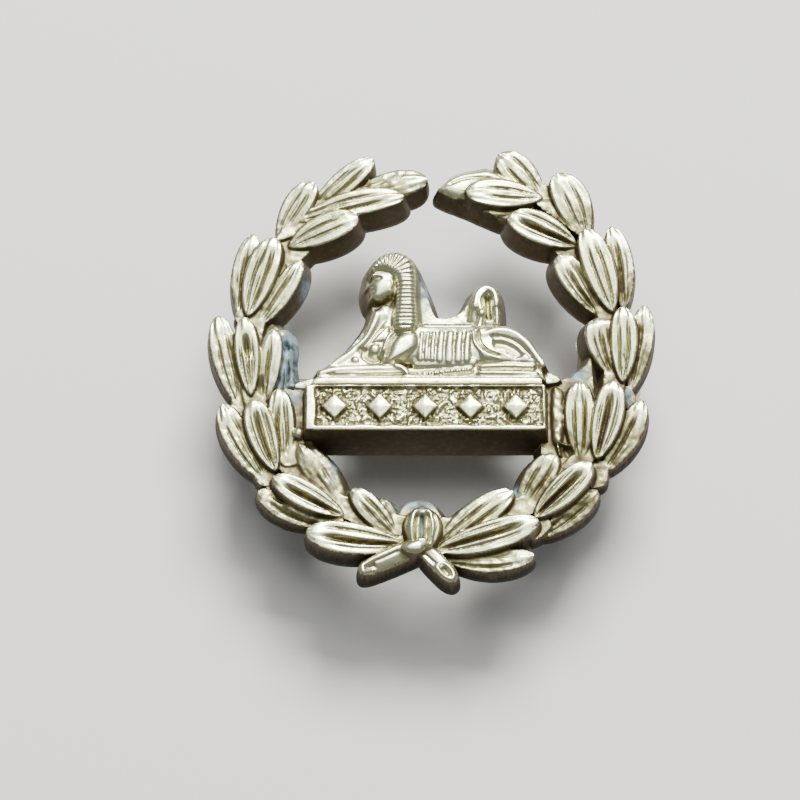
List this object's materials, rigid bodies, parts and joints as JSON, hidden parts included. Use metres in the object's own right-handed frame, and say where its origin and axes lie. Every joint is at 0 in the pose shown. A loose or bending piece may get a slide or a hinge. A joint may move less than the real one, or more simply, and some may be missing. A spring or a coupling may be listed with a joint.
{
  "type": "cap badge",
  "caption": "Small die-struck brass cap badge: laurel wreath tied with a bow round a sphinx on a tablet, with two wire lugs and a split pin.",
  "frame": {"origin": "on the plane of the back rim, midway between the two wire lugs", "axes": "+Z out of the badge's front, +Y towards the top of the badge, +X to the right as the front is seen"},
  "size_m": [0.0274, 0.0297, 0.0084],
  "materials": {
    "struck_brass": "worn satin gilding metal with dark patina in its recesses",
    "lug_wire": "dull, darkened copper alloy wire",
    "braze": "dull silver-yellow brazing metal",
    "pin_wire": "plain half-round brass wire"
  },
  "bodies": {
    "badge": {"badge_stamping": "struck_brass", "lug_left": "lug_wire", "lug_right": "lug_wire", "braze_left_upper": "braze", "braze_left_lower": "braze", "braze_right_upper": "braze", "braze_right_lower": "braze"},
    "pin": {"split_pin": "pin_wire"}
  },
  "joints": [
    {"name": "pin_slide", "type": "slide", "parent": "badge", "child": "pin", "axis": [1, 0, 0], "range_m": [0, 0.03]}
  ]
}
